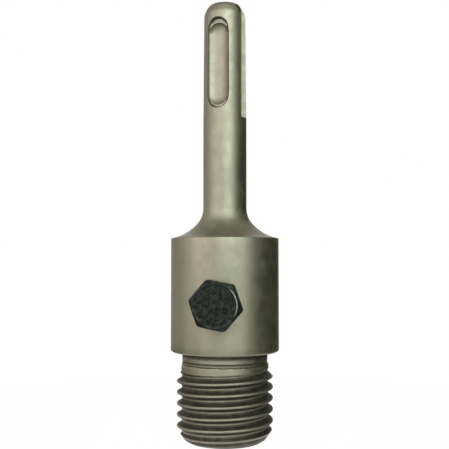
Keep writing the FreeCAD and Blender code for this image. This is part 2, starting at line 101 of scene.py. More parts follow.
# Where the camera stands, from the axis: its bearing, distance, height, way to the right, and its tilt
CAMERA_BEARING = radians(-83.3)
CAMERA_DISTANCE = 177.0 * MM
CAMERA_HEIGHT = 40.33 * MM
CAMERA_RIGHT = -0.09 * MM
CAMERA_TILT = 0.0490 + 0.5 / FOCAL_LENGTH

# The floor's radius and corners, its glow, and how much of what is seen of it is glow and not lit floor
FLOOR_RADIUS = 0.10
FLOOR_CORNERS = 40
FLOOR_GLOW = 1.015
FLOOR_SHARE = 0.97
# How high the floor's cards lie
FLOOR_CARD_HEIGHT = 0.3 * MM
# Rays that see the floor and the world as white
SEEN_BY = ("Is Camera Ray", "Is Glossy Ray", "Is Transmission Ray")
# What the lamps and the other cards face
AIM = Vector((0, 0, 47.0 * MM))
# Each lamp's name, degrees to the right of the camera, degrees up, distance, size, power and tint
LAMPS = (
    ("key", 18, 24, 0.55, (0.42, 0.46), 1.60, (0.80, 1.0, 0.98)),
    ("fill", -42, 18, 0.60, (0.60, 0.55), 0.84, (1.17, 1.0, 1.11)),
)
# Each card's name, degrees to the right of the camera, degrees up, distance, size and tone
CARDS = (
    ("right_card", 104, 0, 0.45, (1.07, 1.3), (0.042, 0.052, 0.027)),
    ("left_card", -125, 0, 0.45, (0.66, 0.9), (0.55, 0.52, 0.50)),
    ("ceiling_card", 180, 72, 0.42, (0.80, 0.62), (0.36, 0.35, 0.31)),
    ("low_card", 0, -19, 0.45, (0.60, 0.20), (0.42, 0.41, 0.38)),
)
# Each floor card's name, its near and its far side to the right of the axis, and its tone
FLOOR_CARDS = (
    ("floor_card_near", 0.014, 0.018, (0.05, 0.06, 0.03)),
    ("floor_card_right", 0.030, 0.10, (0.05, 0.06, 0.03)),
    ("floor_card_left", -0.030, -0.10, (0.10, 0.08, 0.06)),
)


def number(name, value, description, **limits):
    return bpy.props.FloatProperty(name=name, default=value, description=description, **limits)


def length(name, millimetres, description):
    return number(name, millimetres * MM, description, min=0, precision=5, unit="LENGTH")


def angle(name, degrees, description):
    return number(name, radians(degrees), description, unit="ROTATION")


def amount(name, value, description):
    return number(name, value, description, min=0, max=1, subtype="FACTOR")


def colour(name, value, description):
    return bpy.props.FloatVectorProperty(
        name=name, default=value, description=description, min=0, max=1, subtype="COLOR"
    )


def mount_height(name):
    return MOUNTS[name]["pos_m"][2] / MM


class ArborSizes(bpy.types.PropertyGroup):
    """The arbor's sizes, called s below. Heights are above the threaded end."""

    thread_diameter: length("Thread diameter", 21.85, "Over the crests")
    thread_pitch: length("Thread pitch", 2.5, "Rise in one turn")
    thread_depth: length("Thread depth", 1.15, "Crest to root")
    thread_crest: length("Crest width", 0.4, "Flat on top of a thread")
    thread_flank: angle("Thread flank", 30, "Half the angle between two flanks")
    thread_start: length("Thread start", 0.95, "First groove above the end face, on +X")
    thread_top: length("Thread length", 15.6, "End face to the land")
    land_diameter: length("Land diameter", 19.9, "Turned land above the thread")
    land_top: length("Land height", 17.35, "Top of that land")
    end_diameter: length("End face diameter", 16.6, "Flat face of the threaded end")
    end_edge_diameter: length("End edge diameter", 18.6, "Foot of the bevel, over the worn edge")
    end_edge: length("End edge height", 0.6, "Worn edge of the threaded end")
    end_bevel: length("End bevel height", 2.3, "Bevel that leads the thread in")
    relief_diameter: length("Relief diameter", 19.45, "Neck between land and shoulder")
    relief_line: length("Relief line", 2.12, "Turned line, below the shoulder")
    relief_line_depth: length("Relief line depth", 0.16, "Depth of that line")
    relief_line_width: length("Relief line width", 0.44, "Width of that line")
    shoulder: length("Shoulder height", mount_height("shoulder_seat"), "Underside of the collar")
    collar_diameter: length("Collar diameter", 24.7, "Round collar")
    collar_rim: length("Collar rim height", 45.95, "Top of the collar")
    shoulder_chamfer: length("Shoulder chamfer", 0.35, "Lower edge of the collar")
    rim_break: length("Rim break", 0.3, "Upper edge of the collar")
    flare_radius: length("Flare radius", 5.2, "Hollow next to the shank")
    flare_turn: angle("Flare turn", 40, "Turn of that hollow before it widens")
    shank_foot: length("Shank foot height", mount_height("shank"), "Lower end of the shank")
    shank_diameter: length("Shank diameter", 10.0, "Plain shank")
    insert_foot: length("Slotted end height", 72.8, "Where the slotted end starts")
    insert_diameter: length("Slotted end diameter", 9.65, "Below the nose")
    nose_foot: length("Nose foot height", 97.9, "Where the nose starts")
    nose_bend: length("Nose bend height", 99.7, "Where the nose gets blunter")
    nose_bend_diameter: length("Nose bend diameter", 7.96, "Nose where it gets blunter")
    nose_round: length("Nose rounding", 0.45, "Reach of the rounding at its bends")
    nose_tip: length("Nose tip height", mount_height("shank_slots"), "Top of the arbor")
    nose_tip_diameter: length("Nose tip diameter", 6.2, "Flat end of the nose")
    tip_edge: length("Tip edge", 0.3, "Rounded edge of the flat end")
    slot_turn: angle("Slot turn", -14.8, "Slots and grooves about the axis")
    slot_width: length("Slot width", 4.1, "Open drive slot")
    slot_floor: length("Slot floor", 3.35, "From the axis")
    slot_fillet: length("Slot fillet", 0.25, "Hollow corner along its floor")
    slot_length: length("Slot length", 26.8, "From the tip")
    slot_corner: length("Slot corner", 0.9, "Hollow corner at its closed end")
    groove_width: length("Groove width", 5.0, "Closed ball groove, at its ends")
    groove_length: length("Groove length", 20.95, "Over its round ends")
    groove_setback: length("Groove setback", 3.95, "Below the tip")
    ledge_floor: length("Ledge floor", 3.95, "Ledge at a groove's ends, from the axis")
    ledge_hollow: length("Ledge hollow", 0.3, "Hollow corner all round a ledge")
    ledge_upper: length("Upper ledge", 1.2, "Ledge above the ball channel")
    ledge_lower: length("Lower ledge", 0.85, "Ledge below the ball channel")
    ball_radius: length("Ball radius", 3.5, "Channel that the locking ball runs in")
    channel_floor: length("Channel floor", 2.95, "From the axis")
    bore_diameter: length("Bore diameter", 8.0, "Pilot drill bore")
    bore_depth: length("Bore depth", 40.0, "To the bore's shoulder")
    bore_chamfer: length("Bore chamfer", 0.6, "Mouth of the bore")
    drill_point: angle("Drill point", 59, "Half the angle of the bore's cone")
    edge: length("Edge wear", 0.1, "Radius of the slots' worn edges")
    screw_hole: length("Screw hole diameter", 6.2, "Hole for the clamp screw")
    screw_height: length("Screw height", mount_height("screw_head"), "Axis of the clamp screw")
    screw_diameter: length("Screw diameter", 6.0, "Over the crests")
    screw_pitch: length("Screw pitch", 1.0, "Rise in one turn")
    screw_depth: length("Screw thread depth", 0.58, "Crest to root")
    screw_crest: length("Screw crest width", 0.13, "Flat on top of its thread")
    screw_neck: length("Screw neck", 1.1, "Plain part under the head")
    screw_tip: length("Screw tip", 4.2, "Tip from the arbor's axis")
    screw_point: length("Screw point", 0.25, "Taper of the tip below the thread's root")
    head_seat: length("Head seat", 14.15, "Underside from the arbor's axis")
    head_height: length("Head height", 4.0, "With its washer face")
    head_flats: length("Head flats", 10.0, "Across its flats")
    head_turn: angle("Head turn", -10.9, "One corner of the head, turned from +X")
    head_corner: length("Head corner", 0.12, "Wear of the hexagon's corners")
    head_chamfer: angle("Head chamfer", 30, "Slope from the head's face to its sides")
    head_circle: length("Head circle", 9.5, "Flat of its end face")
    head_dish: length("Head dish", 0.07, "Sink of the head's face inside its rim")
    washer_diameter: length("Washer face diameter", 8.9, "Under the head")
    washer_height: length("Washer face height", 0.3, "Under the head")


class ArborLooks(bpy.types.PropertyGroup):
    """The arbor's colours, wear and painted light."""

    steel: colour("Steel", (0.350, 0.322, 0.242), "Clean satin steel")
    steel_olive: colour("Oiled steel", (0.322, 0.304, 0.222), "Satin steel stained by oil")
    # Dark colour of oil streaks and specks, and of the shade painted on the thread's flanks and in corners
    steel_stain_and_shade: colour("Stained and shaded steel", (0.034, 0.032, 0.022), "On the thread's flanks and in corners")
    # Bright colour of worn edges, which also paints a highlight along them
    steel_worn_highlight: colour("Worn and highlit steel", (0.46, 0.44, 0.38), "Along its worn edges")
    steel_gloss: amount("Steel roughness", 0.47, "Roughness of the satin steel")
    black: colour("Black oxide", (0.006, 0.0095, 0.0065), "Blackened screw")
    black_worn: colour("Worn black", (0.095, 0.107, 0.085), "Along the screw's worn edges")
    # Bright colour of a highlight painted on one side of the screw face's rim
    black_highlight: colour("Highlit black", (0.30, 0.31, 0.29), "Highlight painted on one side of the screw face's rim")
    black_gloss: amount("Black roughness", 0.36, "Roughness of the blackened screw")
    # How far the edges are painted bright, as wear and as a highlight
    wear: amount("Wear", 0.6, "How far the edges are worn and painted bright")


class Skin:
    """The points and faces of one piece while it is made. Its painted light and wear is 0 where a point is
    plain, 1 where shade is fully painted in, or on the screw a painted highlight, and down to -1 where an
    edge is worn and painted bright."""

    def __init__(self):
        self.points = []
        self.painted_light_and_wear = []
        self.faces = []

    def ring(self, points, painted_light_and_wear=0.0):
        """Add points, with one value of painted light and wear for all or a list of one for each, and give
        their numbers.
        """
        first = len(self.points)
        self.points.extend(points)
        self.painted_light_and_wear.extend(painted_light_and_wear if isinstance(painted_light_and_wear, list) else [painted_light_and_wear] * len(points))
        return list(range(first, first + len(points)))

    def join(self, above, below):
        """Join two rings of the same count with a strip of quads."""
        count = len(above)
        for index in range(count):
            after = (index + 1) % count
            self.faces.append((above[index], below[index], below[after], above[after]))

    def turn(self, profile, columns, above=None):
        """Add a turned profile of (radius, height, painted light and wear), below a ring if there is one.
        Gives the last.
        """
        for radius, height, painted_light_and_wear in profile:
            ring = self.ring(around(radius, height, columns), painted_light_and_wear)
            if above is not None:
                self.join(above, ring)
            above = ring
        return above

    def join_uneven(self, above, below):
        """Join two rings of different counts, each in order of angle, with a strip of triangles."""
        upper = sorted(above, key=self.bearing)
        lower = sorted(below, key=self.bearing)
        high = low = 0
        while high < len(upper) or low < len(lower):
            corner = (upper[high % len(upper)], lower[low % len(lower)])
            next_high = self.unrolled(upper, high + 1)
            next_low = self.unrolled(lower, low + 1)
            if low >= len(lower) or (high < len(upper) and next_high <= next_low):
                high += 1
                self.faces.append((*corner, upper[high % len(upper)]))
            else:
                low += 1
                self.faces.append((*corner, lower[low % len(lower)]))

    def bearing(self, point):
        x, y, _ = self.points[point]
        return atan2(y, x) % TURN

    def unrolled(self, ring, place):
        """Bearing of a place on a ring, counted on past a whole turn."""
        return self.bearing(ring[place % len(ring)]) + TURN * (place // len(ring))

    def cap(self, ring, centre, facing_up):
        """Close a ring with a fan."""
        middle = self.ring([centre])[0]
        for index, point in enumerate(ring):
            after = ring[(index + 1) % len(ring)]
            self.faces.append((middle, point, after) if facing_up else (middle, after, point))

    def finish(self, name):
        """Make the object, welded and smoothed, with its painted light and wear as an attribute."""
        mesh = bpy.data.meshes.new(name)
        mesh.from_pydata(self.points, [], self.faces)
        stain = mesh.attributes.new("painted_light_and_wear", "FLOAT", "POINT")
        stain.data.foreach_set("value", self.painted_light_and_wear)
        tidy_mesh(mesh)
        return new_object(name, mesh)


def new_object(name, data):
    """Put a new object with this mesh, lamp or camera into the scene."""
    piece = bpy.data.objects.new(name, data)
    bpy.context.scene.collection.objects.link(piece)
    return piece


def tidy_mesh(mesh):
    """Weld the points, drop faces with no area, face outward and mark the sharp edges."""
    work = bmesh.new()
    work.from_mesh(mesh)
    bmesh.ops.remove_doubles(work, verts=work.verts, dist=WELD)
    bmesh.ops.dissolve_degenerate(work, edges=work.edges, dist=WELD)
    bmesh.ops.recalc_face_normals(work, faces=work.faces)
    for face in work.faces:
        face.smooth = True
    for edge in work.edges:
        edge.smooth = len(edge.link_faces) == 2 and edge.calc_face_angle(0) < SHARP
    work.to_mesh(mesh)
    work.free()


def polar(radius, bearing, height):
    return radius * cos(bearing), radius * sin(bearing), height


def around(radius, height, columns):
    """Points of a level ring."""
    return [polar(radius, TURN * i / columns, height) for i in range(columns)]


def blend(low, high, share):
    return low + (high - low) * share


def within(value, low=0.0, high=1.0):
    return min(max(value, low), high)


def circle_height(radius, across):
    """How far out a circle's point is that lies this far across, and 0 where the circle doesn't reach."""
    return sqrt(max(radius * radius - across * across, 0.0))


def rounded(share):
    """How far a quarter round has dropped at this share of it: 0 at its start and 1 at its end."""
    return 1 - sqrt(max(1 - share * share, 0.0))


def along(steps, height):
    """Radius at a height on straight tapers, given upwards as (height, radius), and past their ends."""
    if height <= steps[0][0]:
        return steps[0][1]
    for (low, first), (high, last) in zip(steps, steps[1:]):
        if height <= high:
            return blend(first, last, (height - low) / (high - low))
    return steps[-1][1]


def arc(centre, radius, first, last, steps):
    """Points of a turned arc between two bearings, as (radius, height, painted light and wear)."""
    bearings = [blend(first, last, step / steps) for step in range(steps + 1)]
    return [(centre[0] + radius * cos(b), centre[1] + radius * sin(b), 0.0) for b in bearings]


class SlottedEnd:
    """Level sections of the slotted end: two open drive slots and two closed ball grooves between them."""

    def __init__(self, s):
        self.s = s
        half = s.groove_width / 2
        groove_top = s.nose_tip - s.groove_setback
        self.slot_end = s.nose_tip - s.slot_length
        self.groove_high = groove_top - half
        self.groove_low = groove_top - s.groove_length + half
        self.channel_half = circle_height(s.ball_radius, s.ball_radius + s.channel_floor - s.ledge_floor)
        reach = half - self.channel_half
        self.channel_high = self.groove_high + reach - s.ledge_upper
        self.channel_low = self.groove_low - reach + s.ledge_lower

    def radius(self, z):
        """Radius of the unslotted end at a height, with the bends of the nose rounded over."""
        s = self.s
        tapers = [
            (s.insert_foot, s.shank_diameter / 2),
            (s.nose_foot, s.insert_diameter / 2),
            (s.nose_bend, s.nose_bend_diameter / 2),
            (s.nose_tip, s.nose_tip_diameter / 2),
        ]
        below_tip = s.nose_tip - z
        reach = within(below_tip, 0.0, s.nose_round)
        spread = [along(tapers, z + reach * step / 4) for step in range(-4, 5)]
        radius = sum(spread) / len(spread)
        near_tip = 1 - below_tip / s.tip_edge
        if near_tip > 0:
            radius -= s.tip_edge * rounded(near_tip)
        return radius

    def levels(self):
        """Heights of the sections: close together at round ends, twice where a wall stands."""
        s = self.s
        tiny = 2 * WELD
        half = s.groove_width / 2
        worn = (tiny, EDGE_MIDDLE * s.edge, s.edge)
        heights = {s.insert_foot, s.insert_foot - SHANK_RING, s.nose_tip}
        ends = ((1, self.groove_high, self.channel_high), (-1, self.groove_low, self.channel_low))
        for end, centre, channel in ends:
            for step in range(END_STEPS + 1):
                share = sin(radians(90 * step / END_STEPS))
                heights.add(centre + end * (half * share - (tiny if step == END_STEPS else 0)))
                heights.add(channel + end * self.channel_half * share)
            heights |= {centre + end * (half + beyond) for beyond in worn}
            heights |= {centre + end * (half - s.ledge_hollow / part) for part in (1, 3)}
        for step in range(CORNER_STEPS + 1):
            bearing = radians(90 * step / CORNER_STEPS)
            heights.add(self.slot_end + s.slot_corner * (1 - cos(bearing)))
        heights |= {self.slot_end - below for below in worn}
        for step in range(1, GROOVE_STEPS):
            heights.add(blend(self.groove_low, self.groove_high, step / GROOVE_STEPS))
        for step in range(NOSE_STEPS + 1):
            heights.add(blend(s.nose_foot - 0.5 * MM, s.nose_tip - s.tip_edge, step / NOSE_STEPS))
        heights |= {s.nose_tip - s.tip_edge * share for share in (0.65, 0.35, 0.15, 0.04)}
        return sorted(heights, reverse=True)

    def worn_down(self, offset):
        """How far the skin is worn down, this far outside an edge, as a share of the edge's radius."""
        return rounded(within(1 - offset / self.s.edge))

    def channel_reach(self, radius, beyond):
        """Half the channel's width where it leaves the skin, this far beyond the centre of its end."""
        s = self.s
        across = self.channel_half
        for _ in range(12):
            rise = s.ball_radius + s.channel_floor - circle_height(radius, across)
            across = sqrt(max(s.ball_radius**2 - rise**2 - beyond**2, 0.0))
        return across

    def past_groove(self, radius, beyond):
        """Half a section beyond a groove's round end, with as many points as one through the groove."""
        s = self.s
        half = s.groove_width / 2
        inside = len(CHANNEL_SHARES) + LEDGE_STEPS + HOLLOW_STEPS + 1
        points = [(0.0, radius - s.edge * self.worn_down(beyond - half), 0.0)] * inside
        for offset in (EDGE_MIDDLE * s.edge, s.edge):
            across = circle_height(half + offset, beyond)
            worn = self.worn_down(offset if across > 0 else beyond - half)
            points.append((across, circle_height(radius, across) - s.edge * worn, 0.0))
        return points

    def groove_side(self, z, radius):
        """Half of a ball groove's section, from its middle out, as (across, out, painted light and wear)."""
        s = self.s
        half = s.groove_width / 2
        beyond = max(self.groove_low - z, z - self.groove_high, 0.0)
        if beyond >= half:
            return self.past_groove(radius, beyond)
        channel_beyond = max(self.channel_low - z, z - self.channel_high, 0.0)
        upper_end = z > self.channel_high

        def channel(across):
            reach = hypot(across, channel_beyond)
            if reach >= s.ball_radius:
                return radius
            return s.ball_radius + s.channel_floor - circle_height(s.ball_radius, reach)

        def ledge(across):
            inside = half - hypot(across, beyond)
            if inside <= 0:
                return radius
            return s.ledge_floor + s.ledge_hollow * rounded(max(1 - inside / s.ledge_hollow, 0.0))

        def painted_light_and_wear_at(across):
            """Painted shade at the walls and at the channel's ends, most at the upper one, and none along it.
            """
            if channel(across) >= ledge(across):
                inside = half - hypot(across, beyond)
                return 1.0 if inside < 1.3 * s.ledge_hollow else 0.0
            inside = max(self.channel_half - hypot(across, channel_beyond), 0.0)
            darkest, fade = (0.95, 1.1 * MM) if upper_end else (0.85, 0.35 * MM)
            return max(darkest - inside / fade, 0.0)

        widest = self.channel_reach(radius, channel_beyond) if channel_beyond < self.channel_half else 0.0
        rim = max(circle_height(half, beyond), widest)
        inner = min(circle_height(self.channel_half, channel_beyond), rim)
        foot = within(circle_height(half - s.ledge_hollow, beyond), inner, rim)
        places = [inner * share for share in CHANNEL_SHARES]
        places += [blend(inner, foot, step / LEDGE_STEPS) for step in range(1, LEDGE_STEPS + 1)]
        for step in range(1, HOLLOW_STEPS + 1):
            places.append(blend(foot, rim, sin(radians(90 * step / HOLLOW_STEPS))))
        places[-1] -= WELD
        points = [
            (across, min(circle_height(radius, across), ledge(across), channel(across)), painted_light_and_wear_at(across))
            for across in places
        ]
        wall = circle_height(radius, rim) - points[-1][1]
        drop = min(s.edge, max(wall, 0.0) / 2)
        # The rim is worn round and its colour painted bright: wear and a painted highlight
        for offset in (0.0, EDGE_MIDDLE * s.edge, s.edge):
            across = rim + offset
            worn = self.worn_down(offset)
            points.append((across, circle_height(radius, across) - drop * worn, -0.5 * worn))
        return points

    def slot_side(self, z, radius):
        """Half of a drive slot's section, from its middle out, as (across, out, painted light and wear)."""
        s = self.s
        below = self.slot_end - z
        half = s.slot_width / 2
        if 0 < -below < s.slot_corner:
            half -= s.slot_corner - circle_height(s.slot_corner, s.slot_corner + below)
        if below >= 0:
            half -= s.slot_corner
        half = min(half, circle_height(radius, s.slot_floor))
        wall = max(circle_height(radius, half) - s.slot_floor, 0.0)
        fillet = min(s.slot_fillet, wall / 3)
        lip = min(s.edge, wall / 3)
        if below > 0:
            sunk = s.edge * self.worn_down(below)
            flat = [half * step / 4 for step in range(5)] + [half] * 3
            points = [(across, circle_height(radius, across) - sunk, 0.0) for across in flat]
            for offset in (0.0, EDGE_MIDDLE * lip, lip):
                across = half + offset
                points.append((across, circle_height(radius, across) - sunk * (1 - offset / lip), 0.0))
            return points
        bottom = min(s.slot_floor, radius)
        points = [((half - fillet) * step / 4, bottom, 0.0) for step in range(5)]
        # Painted shade in the hollow corner along the floor
        for share, painted_light_and_wear in ((0.0, 0.3), (0.3, 0.3), (1.0, 0.0)):
            points.append((half - fillet * (1 - share), bottom + fillet * share * share, painted_light_and_wear))
        # The lip is worn round and its colour painted bright: wear and a painted highlight
        for share, drop, painted_light_and_wear in ((0.0, 0.8, -0.6), (EDGE_MIDDLE, 0.25, -0.8), (1.0, 0.0, 0.0)):
            across = half + share * lip
            points.append((across, circle_height(radius, across) - drop * lip, painted_light_and_wear))
        return points

    def section(self, z):
        """The points and the painted light and wear of the whole section at a height, in order round the
        axis.
        """
        radius = self.radius(z)
        points = []
        painted_light_and_wear_values = []
        for quarter in range(4):
            side = self.slot_side if quarter % 2 == 0 else self.groove_side
            half = side(z, radius)
            edge = half[-1][0]
            start = atan2(edge, circle_height(radius, edge))
            for step in range(1, ARC_STEPS + 1):
                bearing = blend(start, pi / 4, step / ARC_STEPS)
                half.append((radius * sin(bearing), radius * cos(bearing), 0.0))
            mirrored = [(-across, out, painted_light_and_wear) for across, out, painted_light_and_wear in reversed(half[1:])]
            spin = self.s.slot_turn + quarter * pi / 2
            for across, out, painted_light_and_wear in mirrored + half[:-1]:
                x = out * cos(spin) - across * sin(spin)
                y = out * sin(spin) + across * cos(spin)
                points.append((x, y, z))
                painted_light_and_wear_values.append(painted_light_and_wear)
        return points, painted_light_and_wear_values


def flare_profile(s):
    """Points down the hollow flare, from the shank to the collar's rim: a tight arc and then a wide one."""
    rim = Vector((s.collar_diameter / 2 - s.rim_break, s.collar_rim))
    inward = Vector((cos(s.flare_turn), sin(s.flare_turn)))
    tight_centre = Vector((s.shank_diameter / 2 + s.flare_radius, s.shank_foot))
    meeting = tight_centre - inward * s.flare_radius
    reach = rim - meeting
    wide = reach.dot(reach) / (2 * reach.dot(inward))
    wide_centre = meeting + inward * wide
    turned = pi + s.flare_turn
    last = atan2(rim.y - wide_centre.y, rim.x - wide_centre.x) % TURN
    tight_arc = arc(tight_centre, s.flare_radius, pi, turned, TIGHT_STEPS)
    return tight_arc + arc(wide_centre, wide, turned, last, WIDE_STEPS)[1:]


def collar_profile(s):
    """Points from the collar's rim down to the top of the thread, as (radius, height, painted light and
    wear).
    """
    wall = s.collar_diameter / 2
    neck = s.relief_diameter / 2
    rim = s.rim_break
    chamfer = s.shoulder_chamfer
    worn = 0.12 * MM
    hollow = 0.3 * MM
    foot = s.shoulder + chamfer + worn
    line = s.shoulder - s.relief_line
    half_line = s.relief_line_width / 2
    points = arc((wall - rim, s.collar_rim - rim), rim, radians(75), 0, 4)
    for step in range(1, COLLAR_STEPS):
        points.append((wall, blend(s.collar_rim - rim, foot, step / COLLAR_STEPS), 0.0))
    return points + [
        # The lower chamfer is worn and painted bright: wear and a painted highlight
        (wall, foot, -0.1),
        (wall - 0.03 * MM, s.shoulder + chamfer, -0.5),
        (wall - chamfer + 0.04 * MM, s.shoulder + 0.05 * MM, -0.2),
        (wall - chamfer - 0.06 * MM, s.shoulder, 0.1),
        # Painted shadow under the shoulder, and painted shade in the turned line and at the land's top
        (blend(wall, neck, 0.6), s.shoulder, 0.6),
        (neck + hollow, s.shoulder, 1.0),
        (neck + 0.3 * hollow, s.shoulder - 0.3 * hollow, 1.0),
        (neck, s.shoulder - hollow, 1.0),
        (neck, s.shoulder - 0.75 * MM, 1.0),
        (neck, s.shoulder - 1.0 * MM, 0.7),
        (neck, s.shoulder - 1.35 * MM, 0.05),
        (neck, line + half_line, 0.1),
        (neck - s.relief_line_depth, line + half_line / 3, 0.9),
        (neck - s.relief_line_depth, line - half_line / 3, 0.9),
        (neck, line - half_line, 0.1),
        (neck, s.land_top + LAND_STEP, 0.7),
    ]


@dataclass
class Thread:
    """A right-handed thread. On +X its first row and one of its crests lie at given heights."""

    outside: float
    pitch: float
    depth: float
    crest: float
    flank: float
    first_row: float
    crest_height: float

    def radius(self, height):
        """Its radius at a height on +X, with the corners of crest and root rounded."""
        offset = (height - self.crest_height + self.pitch / 2) % self.pitch - self.pitch / 2
        drop = (abs(offset) - self.crest / 2) / tan(self.flank)
        corner = 0.12 * self.depth
        if drop < -corner:
            return self.outside
        if drop < corner:
            return self.outside - (drop + corner) ** 2 / (4 * corner)
        if drop < self.depth - 2 * corner:
            return self.outside - drop
        left = max(self.depth + 2 * corner - drop, 0.0)
        return self.outside - self.depth + left**2 / (8 * corner)

    def strip(self, skin, columns, low, high, limit, painted_light_and_wear_of):
        """Add its faces between two heights. The limit gives the widest radius at a height, and the painted
        light and wear depends on the height and on the place above the first row, as a share of the pitch."""
        rows = ROWS_A_TURN
        first = floor((low - self.first_row) / self.pitch - 1) * rows
        last = ceil((high - self.first_row) / self.pitch + 1) * rows
        grid = []
        for column in range(columns):
            share = column / columns
            bearing = TURN * share
            line = []
            for row in range(first, last + 1):
                height = within(self.first_row + self.pitch * (row / rows + share), low, high)
                radius = min(self.radius(height - self.pitch * share), limit(height))
                line += skin.ring([polar(radius, bearing, height)], painted_light_and_wear_of(height, row / rows % 1))
            grid.append(line)
        grid.append(grid[0][rows:])
        for here, there in zip(grid, grid[1:]):
            for row in range(min(len(here), len(there)) - 1):
                skin.faces.append((here[row], there[row], there[row + 1], here[row + 1]))


def add_male_thread(skin, s):
    """The male thread with its bevelled end, the land above it and the step to the relief."""
    top = s.land_top + LAND_STEP
    bevel = [
        (0.0, s.end_diameter / 2),
        (s.end_edge, s.end_edge_diameter / 2),
        (s.end_edge + s.end_bevel, s.thread_diameter / 2),
    ]

    def limit(height):
        """The bevel, the thread's run-out into the land, and the step to the relief."""
        land = s.land_diameter / 2 + max(s.thread_top - height, 0.0)
        step = s.relief_diameter / 2 + 3 * (top - height)
        return min(along(bevel, height), land, step)

    def painted_light_and_wear_of(height, place):
        """Painted shade: dark on the flanks and at the worn end, lighter in roots, at 0, and on crests, at
        0.5.
        """
        # Painted shade in a thin line at the thread's top and on the step to the relief
        if height >= s.thread_top:
            at_thread = height < s.thread_top + 0.12 * MM
            at_relief = height > s.land_top + 0.02 * MM
            return 1.0 if at_thread or at_relief else 0.05
        if 0.44 < place < 0.62:
            painted_light_and_wear = 0.2
        elif place < 0.11:
            painted_light_and_wear = 0.35
        else:
            painted_light_and_wear = 1.0
        at_end = height < s.end_edge + 0.3 * s.end_bevel
        return max(painted_light_and_wear, 0.65) if at_end else painted_light_and_wear

    outside = s.thread_diameter / 2
    crest_height = s.thread_start + s.thread_pitch / 2
    shape = (s.thread_pitch, s.thread_depth, s.thread_crest, s.thread_flank)
    thread = Thread(outside, *shape, s.thread_start, crest_height)
    thread.strip(skin, BODY_COLUMNS, 0.0, top, limit, painted_light_and_wear_of)


def body_skin(s):
    """The whole adapter body, from the nose down the outside and back up its bore."""
    skin = Skin()
    slotted = SlottedEnd(s)
    above = None
    for z in slotted.levels():
        ring = skin.ring(*slotted.section(z))
        if above is None:
            skin.cap(ring, (0, 0, z), True)
        else:
            skin.join(above, ring)
        above = ring

    shank = s.shank_diameter / 2
    profile = [(shank, s.insert_foot - 3 * SHANK_RING, 0.0)]
    for step in range(1, SHANK_STEPS):
        profile.append((shank, blend(s.insert_foot, s.shank_foot, step / SHANK_STEPS), 0.0))
    profile += flare_profile(s) + collar_profile(s)
    ring = skin.turn(profile[:1], BODY_COLUMNS)
    skin.join_uneven(above, ring)
    skin.turn(profile[1:], BODY_COLUMNS, ring)
    add_male_thread(skin, s)

    end = s.end_diameter / 2
    bore = s.bore_diameter / 2
    mouth = bore + s.bore_chamfer
    middle = blend(end, mouth, 0.5)
    # Painted shade down the bore, darker the deeper it goes, and a little at the end face's outer edge
    inside = [(end, 0.0, 0.2), (middle, 0.0, 0.0), (mouth, 0.0, 0.0), (bore, s.bore_chamfer, 0.1)]
    for share, painted_light_and_wear in ((0.25, 0.5), (0.5, 0.6), (0.75, 0.7), (1.0, 0.9)):
        inside.append((bore, s.bore_depth * share, painted_light_and_wear))
    deepest = skin.turn(inside, BODY_COLUMNS)
    skin.cap(deepest, (0, 0, s.bore_depth + bore / tan(s.drill_point)), False)
    return skin


def on_screw_axis(s, out=0.0):
    """Turn an upright piece to point out along -Y on the screw's axis, this far from the arbor's axis."""
    outward = Matrix(((1, 0, 0), (0, 0, -1), (0, 1, 0))).to_4x4()
    return Matrix.Translation((0, -out, s.screw_height)) @ outward


def cut_screw_hole(piece, s):
    """Cut the cross hole for the clamp screw, from the collar into the bore."""
    radius = s.screw_hole / 2
    wall = s.collar_diameter / 2
    deep = s.bore_diameter / 4
    sink = 0.25 * MM
    lip = 0.35 * MM
    tool = Skin()
    rings = [
        (radius + sink + MM, wall + MM, 0.0),
        (radius + sink, wall - lip, 0.0),
        (radius, wall - lip - sink, 0.0),
        (radius, deep, 0.0),
    ]
    first = tool.turn(rings[:1], HOLE_COLUMNS)
    tool.cap(first, (0, 0, wall + MM), True)
    last = tool.turn(rings[1:], HOLE_COLUMNS, first)
    tool.cap(last, (0, 0, deep), False)
    cutter = tool.finish("screw_hole_tool")
    cutter.data.transform(on_screw_axis(s))
    cut = piece.modifiers.new("screw hole", "BOOLEAN")
    cut.operation = "DIFFERENCE"
    cut.solver = "EXACT"
    cut.object = cutter
    with bpy.context.temp_override(object=piece, active_object=piece, selected_objects=[piece]):
        bpy.ops.object.modifier_apply(modifier=cut.name)
    bpy.data.objects.remove(cutter)


def hexagon_reach(bearing, s):
    """Distance from the head's axis to its side, with rubbed corners."""
    sixth = pi / 3
    from_flat = sixth / 2 - abs((bearing + sixth / 2) % sixth - sixth / 2)
    half = s.head_flats / 2
    return min(half / cos(from_flat), half / cos(sixth / 2) - s.head_corner)


def rim_highlight_and_wear(bearing):
    """Painted light and wear of the rim of the head's face: a painted highlight along one side, and worn
    elsewhere.
    """
    from_middle = abs((bearing - HIGHLIGHT_MIDDLE + pi) % TURN - pi)
    highlit = 1 - within((from_middle - HIGHLIGHT_HALF) / HIGHLIGHT_FADE)
    return highlit if highlit > 0 else -0.3


